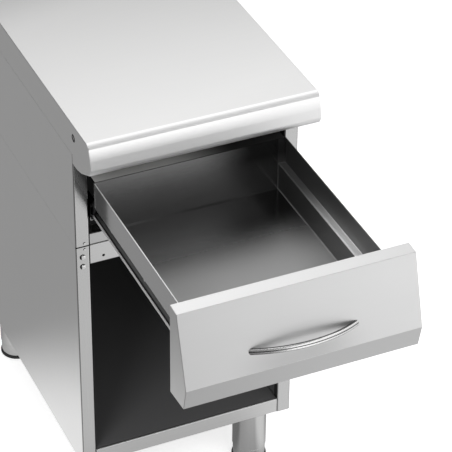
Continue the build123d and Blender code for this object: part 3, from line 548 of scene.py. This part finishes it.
# a pale floor: evenly white to the eye, and in reflections bright in front of the
# unit, duller below it and where the studio ends behind and to the left
fn = Net("floor_paint")
speck = fn.noise(fn.mapped((30, 30, 30)), 1.0, 2.0, 0.5)
fx, fy, fz = fn.xyz()


def reach(cx, cy):
    return fn.math("SQRT", fn.math("ADD", fn.math("POWER", fn.math("SUBTRACT", fx, cx), 2.0), fn.math("POWER", fn.math("SUBTRACT", fy, cy), 2.0)))


shade = fn.span(fy, FLOOR_FRONT[0], FLOOR_FRONT[1], FLOOR_BACK, FLOOR_FRONT[2], smooth=True)
shade = fn.math("ADD", shade, fn.span(fy, FLOOR_FAR[0], FLOOR_FAR[1], 0.0, FLOOR_FAR[2] - FLOOR_FRONT[2], smooth=True))
corner = fn.math("MULTIPLY", fn.span(fx, -0.15, -0.40, 0.0, 1.0, smooth=True), fn.span(fy, -0.35, -0.65, 0.0, 1.0, smooth=True))
shade = fn.math("MULTIPLY", shade, fn.math("SUBTRACT", 1.0, fn.math("MULTIPLY", corner, 1.0 - FLOOR_LEFT)))
under = fn.span(reach(0.0, 0.24), FLOOR_UNDER[0], FLOOR_UNDER[1], FLOOR_UNDER[2], 1.0, smooth=True)
shade = fn.math("MINIMUM", shade, under)
beside = fn.math("MULTIPLY", fn.span(fx, 0.10, 0.22, 0.0, FLOOR_RIGHT, smooth=True), fn.span(fy, 0.10, -0.05, 0.0, 1.0, smooth=True))
shade = fn.math("MAXIMUM", shade, beside)
patch = fn.span(reach(FLOOR_SIDE[0], FLOOR_SIDE[1]), FLOOR_SIDE[2], FLOOR_SIDE[3], FLOOR_SIDE[4], 0.0, smooth=True)
patch = fn.math("MULTIPLY", patch, fn.span(fx, 0.03, -0.12, smooth=True))
shade = fn.math("MAXIMUM", shade, patch)
seen = fn.add("ShaderNodeLightPath").outputs["Is Camera Ray"]
pale = fn.mix(fn.span(speck, 0.3, 0.7), (0.90, 0.90, 0.90), (0.93, 0.93, 0.93))
fn.link(fn.mix(seen, (0.0, 0.0, 0.0), pale), fn.bsdf.inputs["Base Color"])
fn.bsdf.inputs["Roughness"].default_value = 0.9
fn.bsdf.inputs["Specular IOR Level"].default_value = 0.1
glow = fn.add("ShaderNodeMix", data_type="FLOAT")
fn.link(seen, glow.inputs[0])
fn.link(shade, glow.inputs[2])
glow.inputs[3].default_value = FLOOR_LIFT
fn.link(glow.outputs[0], fn.bsdf.inputs["Emission Strength"])
fn.bsdf.inputs["Emission Color"].default_value = (1, 1, 1, 1)
floor_mesh.materials.append(fn.mat)

world = bpy.data.worlds.new("studio")
scene.world = world
world.use_nodes = True
wt = world.node_tree
bg = wt.nodes["Background"]
wn = Net.__new__(Net)
wn.tree, wn.coord = wt, None
direction = wn.add("ShaderNodeTexCoord").outputs["Generated"]
sep = wn.add("ShaderNodeSeparateXYZ")
wn.link(direction, sep.inputs[0])
wx, wy, wz = sep.outputs


def blend_value(fac, a, b):
    n = wn.add("ShaderNodeMix", data_type="FLOAT")
    for i, v in enumerate((fac, a, b)):
        key = (0, 2, 3)[i]
        if isinstance(v, (int, float)):
            n.inputs[key].default_value = v
        else:
            wn.link(v, n.inputs[key])
    return n.outputs[0]


high_front = wn.span(wx, -0.25, 0.35, SKY_FRONT[1], SKY_FRONT[2], smooth=True)
front_sky = blend_value(wn.span(wz, 0.08, 0.38, 0.0, 1.0, smooth=True), SKY_FRONT[0], high_front)
back_sky = wn.span(wz, 0.45, 0.80, SKY_BACK[0], SKY_BACK[1], smooth=True)
sky = blend_value(wn.span(wy, -0.35, 0.35, 0.0, 1.0, smooth=True), front_sky, back_sky)
sides = blend_value(wn.span(wx, -0.1, 0.1, 0.0, 1.0), wn.span(wx, -0.45, -0.10, SKY_LEFT, 1.0, smooth=True), wn.span(wx, 0.35, 0.8, 1.0, SKY_RIGHT, smooth=True))
sky = wn.math("MULTIPLY", sky, sides)
sky = blend_value(wn.span(wz, 0.66, 0.88, 0.0, 1.0, smooth=True), sky, SKY_TOP)
sky = blend_value(wn.add("ShaderNodeLightPath").outputs["Is Camera Ray"], sky, 1.0)
wn.link(sky, bg.inputs["Strength"])
bg.inputs["Color"].default_value = (1.0, 1.0, 1.0, 1)


def area(name, where, at, size, power, size_y=None):
    data = bpy.data.lights.new(name, "AREA")
    data.shape = "RECTANGLE"
    data.size, data.size_y = size, size_y or size
    data.energy = power
    o = bpy.data.objects.new(name, data)
    scene.collection.objects.link(o)
    o.location = where
    o.rotation_mode = "QUATERNION"
    o.rotation_quaternion = (Vector(at) - Vector(where)).to_track_quat("-Z", "Y")
    return o


area("key", (2.4, -2.2, 3.0), (0, -0.1, 0.5), 1.6, KEY_POWER)
box = area("soft_box", (0.50, 1.25, 1.95), (0, 0.2, 0.85), 2.0, BOX_POWER, 1.0)
# fills from the front and from the left that only matt surfaces feel
fill = area("fill", (0.4, -2.6, 1.5), (0, 0.1, 0.3), 2.3, FILL_POWER)
left_fill = area("left_fill", (-1.8, -1.6, 2.0), (0, 0, 0.5), 1.0, LEFT_POWER)
for o in (fill, left_fill):
    o.visible_glossy = False
for o in (box, fill, left_fill):
    o.visible_camera = False
